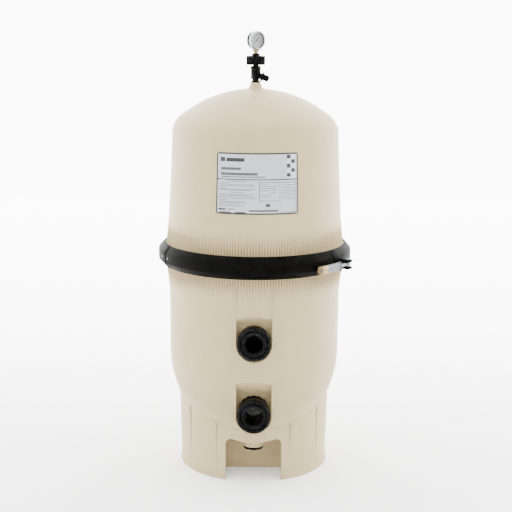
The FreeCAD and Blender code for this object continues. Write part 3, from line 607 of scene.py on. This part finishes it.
lap_plate("left_lap_plate", LAPS[0], -1)
lap_plate("rear_lap_plate", LAPS[2], 1)
lap_plate("closing_lap_plate", LAPS[1] - 0.5, -1)


# ---- metal hardware of the closure and the band ----
# Zinc-plated bolt, spring and washers, and a turned brass closing nut.

def zinc_plate():
    """Bright zinc plate on steel, dulled to a soft grey."""
    material, tree, shader = new_material("zinc_plated_steel", "#77797A", 0.42, Metallic=0.9)
    paint(tree, shader, grain(tree, 0.004), "#6A6C6D", "#868889")
    roughen(tree, shader, grain(tree, 0.002), 0.3, 0.5)
    emboss(tree, shader, grain(tree, 0.001), 0.0001, 0.3)
    return material


def turned_brass():
    """Turned brass with a thin tarnish, paler where it is handled."""
    material, tree, shader = new_material("turned_brass", "#8A7650", 0.45, Metallic=0.85)
    paint(tree, shader, grain(tree, 0.005), "#7E6A44", "#96835F")
    roughen(tree, shader, grain(tree, 0.003), 0.28, 0.45)
    emboss(tree, shader, grain(tree, 0.0008), 0.00008, 0.3)
    return material


def stainless():
    """Drawn 316 stainless: neutral grey with fine drawing marks."""
    material, tree, shader = new_material("drawn_stainless_steel", "#B5B5B3", 0.3, Metallic=1.0)
    roughen(tree, shader, grain(tree, 0.002), 0.24, 0.4)
    return material


def softened(node, width, material, body, degrees=35):
    """A CAD piece with its sharp edges rounded as the real one's are."""
    copy_node(node)
    bpy.ops.object.mode_set(mode="EDIT")
    bpy.ops.mesh.select_all(action="SELECT")
    bpy.ops.mesh.dissolve_limited(angle_limit=math.radians(0.5))
    bpy.ops.object.mode_set(mode="OBJECT")
    soften_edges(width, 2, degrees)
    new_piece(node + "_finished", material, body, [node])
    smooth_piece(degrees)


def dress(material, *names):
    """Give CAD nodes that stay as they are their finished material."""
    for name in names:
        item = nodes[name]
        item.data.materials.clear()
        item.data.materials.append(material)


zinc = zinc_plate()
brass = turned_brass()
steel = stainless()
softened("bolt_lug", 0.0014, band_coat, "tank")
softened("clamp_saddle", 0.0010, band_coat, "tank")
softened("clamp_nut", 0.0018, brass, "nut")
softened("t_bolt", 0.0008, zinc, "t_bolt_swing")
dress(zinc, "t_bolt_pin", "spring_seat", "clamp_spring", "clamp_washer", "band_straps", "band_rivets")
dress(steel, "retainer_rod", "retainer_washer", "retainer_wing_nut")


# ---- unions, bulkheads and drain ----
# Black moulded ABS fittings with rubber seals, satin from the mould.

def black_abs():
    """Moulded black ABS: satin, with faint flow marks."""
    material, tree, shader = new_material("moulded_black_abs", "#050505", 0.42)
    shader.inputs["Specular IOR Level"].default_value = 0.06
    paint(tree, shader, grain(tree, 0.02), "#030303", "#070707")
    roughen(tree, shader, grain(tree, 0.006), 0.34, 0.48)
    emboss(tree, shader, grain(tree, 0.0012), 0.00008, 0.3)
    return material


def nitrile():
    """Moulded nitrile rubber: dull black."""
    material, tree, shader = new_material("nitrile_rubber", "#0B0B0B", 0.75)
    shader.inputs["Specular IOR Level"].default_value = 0.2
    roughen(tree, shader, grain(tree, 0.003), 0.68, 0.85)
    return material


abs_black = black_abs()
rubber = nitrile()
softened("inlet_union_nut", 0.0014, abs_black, "inlet_union")
softened("outlet_union_nut", 0.0014, abs_black, "outlet_union")
for port in ("inlet", "outlet"):
    softened(port + "_tailpiece", 0.0010, abs_black, "tank")
    softened(port + "_locknut", 0.0010, abs_black, "tank")
softened("drain_plug", 0.0010, abs_black, "drain_cap")
dress(abs_black, "inlet_bulkhead", "outlet_bulkhead")
dress(rubber, "inlet_gasket", "outlet_gasket", "drain_oring", "tank_oring", "air_relief_oring")


# ---- air relief valve ----
# Black moulded body and knob on a threaded stem; a quarter turn lets the air out.

softened("air_relief_body", 0.0007, abs_black, "tank")
softened("air_relief_outlet", 0.0005, abs_black, "tank")
softened("air_relief_knob", 0.0007, abs_black, "relief_knob")
softened("knob_retainer", 0.0008, abs_black, "tank")


# ---- pressure gauge ----
# A 56 mm dial gauge: black case, bright bezel, flat clear lens, grey dial with
# ticks and numbers, and a black needle that rests on zero.

softened("gauge_stem", 0.0006, brass, "tank")
softened("gauge_case", 0.0012, abs_black, "tank")


def chrome_plate():
    """Chrome-plated bezel with light handling marks."""
    material, tree, shader = new_material("chrome_plated_bezel", "#8C8E90", 0.16, Metallic=1.0)
    roughen(tree, shader, grain(tree, 0.004), 0.1, 0.22)
    return material


def lens_acrylic():
    """Clear acrylic lens."""
    material, tree, shader = new_material("clear_acrylic", "#FFFFFF", 0.03, IOR=1.49, Alpha=0.05)
    roughen(tree, shader, grain(tree, 0.01), 0.02, 0.05)
    return material


def dial_enamel():
    """Printed aluminium dial, matt light grey."""
    material, tree, shader = new_material("printed_dial_enamel", "#7E8181", 0.6)
    paint(tree, shader, grain(tree, 0.01), "#787B7B", "#868989")
    return material


def ink(name, colour):
    """Screen-printed ink."""
    material, tree, shader = new_material(name, colour, 0.55)
    roughen(tree, shader, grain(tree, 0.004), 0.48, 0.6)
    return material


softened("gauge_bezel", 0.0004, chrome_plate(), "tank")
dress(lens_acrylic(), "gauge_lens")
dress(dial_enamel(), "gauge_dial")
dress(ink("needle_black", "#060606"), "gauge_pointer")
dial_ink = ink("dial_print_grey", "#3C3C3C")
dial_black = ink("dial_print_black", "#121212")
GAUGE_TURN = math.radians(40)
dial_low, dial_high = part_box("gauge_dial")
face_out = Vector((math.sin(GAUGE_TURN), -math.cos(GAUGE_TURN), 0))
face_right = Vector((math.cos(GAUGE_TURN), math.sin(GAUGE_TURN), 0))
SWEEP_START, SWEEP = 225, 270
TICK_OUTER = 0.0208
TICK_THICK = 0.00012
NUMBER_R = 0.0135
dial_centre = (Vector(dial_low) + Vector(dial_high)) / 2 + face_out * 0.00055


def onto_dial(piece):
    """Carry a print drawn in the flat onto the dial's face."""
    for vertex in piece.data.vertices:
        x, y, z = vertex.co
        vertex.co = dial_centre + face_right * x + Vector((0, 0, y)) + face_out * z


def dial_ticks():
    """Long ticks at each ten and short ones between, over 270 degrees."""
    mesh = bmesh.new()
    for step in range(31):
        angle = math.radians(SWEEP_START - SWEEP * step / 30)
        long = step % 5 == 0
        half = 0.0005 if long else 0.00025
        near = 0.0165 if long else 0.0185
        across = Vector((-math.sin(angle), math.cos(angle)))
        along = Vector((math.cos(angle), math.sin(angle)))
        corners = [along * near - across * half, along * TICK_OUTER - across * half,
                   along * TICK_OUTER + across * half, along * near + across * half]
        low = [mesh.verts.new((c.x, c.y, 0)) for c in corners]
        high = [mesh.verts.new((c.x, c.y, TICK_THICK)) for c in corners]
        mesh.faces.new(high)
        mesh.faces.new(list(reversed(low)))
        for i in range(4):
            j = (i + 1) % 4
            mesh.faces.new((low[i], low[j], high[j], high[i]))
    data = bpy.data.meshes.new("dial_ticks")
    bmesh.ops.recalc_face_normals(mesh, faces=mesh.faces)
    mesh.to_mesh(data)
    mesh.free()
    item = bpy.data.objects.new("dial_ticks", data)
    bpy.context.collection.objects.link(item)
    bpy.context.view_layer.objects.active = item
    new_piece("dial_ticks", dial_black, "tank")
    onto_dial(item)


def dial_number(text, angle):
    """One raised print number, set upright inside the ticks."""
    bpy.ops.object.select_all(action="DESELECT")
    bpy.ops.object.text_add(location=(0, 0, 0))
    item = bpy.context.object
    item.data.body = text
    item.data.size = 0.0052
    item.data.extrude = 0.00006
    item.data.align_x = "CENTER"
    item.data.align_y = "CENTER"
    item.data.resolution_u = 3
    bpy.ops.object.convert(target="MESH")
    turn = math.radians(angle)
    for vertex in item.data.vertices:
        vertex.co.x += NUMBER_R * math.cos(turn)
        vertex.co.y += NUMBER_R * math.sin(turn)
    new_piece("dial_number_" + text, dial_ink, "tank")
    onto_dial(item)
    bpy.ops.object.mode_set(mode="EDIT")
    bpy.ops.mesh.select_all(action="SELECT")
    bpy.ops.mesh.remove_doubles(threshold=0.000002)
    bpy.ops.object.mode_set(mode="OBJECT")


dial_ticks()
for number in range(7):
    dial_number(str(number * 10), SWEEP_START - SWEEP / 6 * number)


# ---- rating label ----
# A printed polyester film stuck to the lid: dark border, pale header with a
# plain banner, and below it greyed blocks and ruled boxes with no wording.

LABEL_START, LABEL_END = -25.3, 28.5
label_low, label_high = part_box("rating_label")
LABEL_BOTTOM, LABEL_TOP = label_low[2], label_high[2]
film, tree, shader = new_material("printed_polyester_film", "#A8ABAF", 0.4)
paint(tree, shader, grain(tree, 0.03), "#A4A7AB", "#ABAEB2")
roughen(tree, shader, grain(tree, 0.01), 0.3, 0.42)
inks = [film, ink("label_ink_dark", "#050505"), ink("label_ink_grey", "#18191A"),
        ink("label_ink_pale", "#3E4042"), ink("label_ink_white", "#B9BCC0")]
FILM, DARK, GREY, PALE, WHITE = range(5)
LABEL_WIDE, LABEL_TALL = 244.0, 177.0
BORDER = 4.0
HEADER_FOOT = 77


def ruled_box(left, top, right, bottom, line=1.2):
    """The four lines of a box, in millimetres from the label's upper left corner."""
    return [(left, top, right, top + line, GREY), (left, bottom - line, right, bottom, GREY),
            (left, top, left + line, bottom, GREY), (right - line, top, right, bottom, GREY)]


def grey_lines(left, top, lengths, spacing=4.2, thick=1.5, tone=PALE):
    """A block of plain bars, one for each length."""
    return [(left, top + spacing * i, left + length, top + spacing * i + thick, tone)
            for i, length in enumerate(lengths)]


prints = [(12, 14, 26, 26, DARK), (30, 15, 84, 25, DARK)]
prints += grey_lines(14, 42, (60, 108), 15, 8, PALE) + grey_lines(14, 68, (130,), 5, 2.4, PALE)
prints += [(205, 4, 236, 73, WHITE)]
prints += [(208 + 14 * (step % 2), 6 + 13 * step, 220 + 14 * (step % 2), 17 + 13 * step, GREY)
           for step in range(5)]
prints += grey_lines(36, 81, (52,), 4, 1.6, GREY) + grey_lines(7, 86, (30, 106, 104, 22, 108, 96))
prints += grey_lines(40, 112, (40,), 4, 1.6, GREY)
prints += grey_lines(7, 118, (104, 98, 110, 112, 30, 80, 82, 60, 76))
prints += ruled_box(126, 84, 187, 138) + grey_lines(130, 89, (20, 34, 30, 26), 6, 1.6)
prints += grey_lines(160, 95, (18, 16, 18, 15), 6, 1.6) + grey_lines(130, 120, (34, 28), 6, 1.6)
prints += ruled_box(189, 84, 237, 171)
prints += [(189 + 12 * step, 84, 190 + 12 * step, 136, PALE) for step in range(1, 4)]
prints += grey_lines(192, 92, (42, 42, 42, 42, 42, 42), 7, 1.3)
prints += [(7, 160, 30, 165, DARK), (36, 161, 54, 164, PALE), (146, 146, 158, 154, GREY)]
prints += [(98, 164, 182, 168, GREY), (12, 170, 46, 172, PALE), (58, 170, 88, 172, GREY)]


def ink_at(across, down):
    """Which ink lies at a place on the label, in millimetres from its upper left."""
    edge = min(across, down, LABEL_WIDE - across, LABEL_TALL - down)
    if edge < BORDER or abs(down - HEADER_FOOT) < 1.6:
        return DARK
    tone = FILM
    for left, top, right, bottom, colour in prints:
        if left <= across <= right and top <= down <= bottom:
            tone = colour
    return tone


def wall_radius(height):
    """The lid wall's outer radius at a height."""
    low, mid = RIB_TOP, WAIST
    high = (KNUCKLE[0] + KNUCKLE_R, KNUCKLE[1])
    start, end = (low, mid) if height < mid[1] else (mid, high)
    return start[0] + (end[0] - start[0]) * (height - start[1]) / (end[1] - start[1])


bpy.ops.object.select_all(action="DESELECT")
bpy.ops.mesh.primitive_grid_add(x_subdivisions=122, y_subdivisions=118, size=2)
label = bpy.context.object
CORNER = 7.0
for vertex in label.data.vertices:
    across = (vertex.co.x + 1) / 2 * LABEL_WIDE
    up = (vertex.co.y + 1) / 2 * LABEL_TALL
    inset_x = max(CORNER - across, across - (LABEL_WIDE - CORNER), 0)
    inset_y = max(CORNER - up, up - (LABEL_TALL - CORNER), 0)
    if inset_x > 0 and inset_y > 0:
        pull = max(inset_x, inset_y) / math.hypot(inset_x, inset_y)
        across += (inset_x - inset_x * pull) * (1 if across < CORNER else -1)
        up += (inset_y - inset_y * pull) * (1 if up < CORNER else -1)
    height = LABEL_BOTTOM + up / LABEL_TALL * (LABEL_TOP - LABEL_BOTTOM)
    turn = math.radians(LABEL_START + across / LABEL_WIDE * (LABEL_END - LABEL_START))
    radius = wall_radius(height) + 0.0006
    vertex.co = (radius * math.sin(turn), -radius * math.cos(turn), height)
new_piece("rating_label_film", film, "tank", ["rating_label"])
for colour in inks[1:]:
    label.data.materials.append(colour)
for face in label.data.polygons:
    x, y, z = face.center
    turn = math.degrees(math.atan2(x, -y))
    across = (turn - LABEL_START) / (LABEL_END - LABEL_START) * LABEL_WIDE
    down = (LABEL_TOP - z) / (LABEL_TOP - LABEL_BOTTOM) * LABEL_TALL
    face.material_index = ink_at(across, down)
bpy.ops.object.modifier_add(type="SOLIDIFY")
label.modifiers[-1].thickness = 0.0005
bpy.ops.object.modifier_apply(modifier=label.modifiers[-1].name)
smooth_piece(40)


# ---- filter pack ----
# Inside the tank: white ABS manifold, elbow, standpipe and spacer, and eight
# curved grids sewn into woven polypropylene.

def white_abs():
    """Moulded white ABS, slightly warm."""
    material, tree, shader = new_material("moulded_white_abs", "#E6E5DF", 0.4)
    paint(tree, shader, grain(tree, 0.03), "#E0DFD8", "#EBEAE4")
    roughen(tree, shader, grain(tree, 0.01), 0.35, 0.5)
    return material


def filter_cloth():
    """Woven polypropylene cloth over the grid: off-white, dull, with a plain weave."""
    material, tree, shader = new_material("woven_polypropylene", "#E4E2D8", 0.85)
    shader.inputs["Sheen Weight"].default_value = 0.2
    place = add_node(tree, "ShaderNodeTexCoord").outputs["Object"]
    # Threads are 0.5 mm apart; they are drawn 2 mm apart so that they show.
    warp = add_node(tree, "ShaderNodeTexWave", {"Vector": place}, Scale=80.0, bands_direction="Z")
    paint(tree, shader, warp.outputs["Fac"], "#D5D3C8", "#EAE8DF")
    emboss(tree, shader, warp.outputs["Fac"], 0.0003, 0.5)
    return material


dress(abs_black, "inlet_diffuser")
dress(white_abs(), "outlet_elbow", "standpipe", "manifold", "grid_spacer",
      "rod_anchor", "air_bleed_tube", "air_bleed_screen")
dress(filter_cloth(), *["filter_grid_%d" % (i + 1) for i in range(8)])
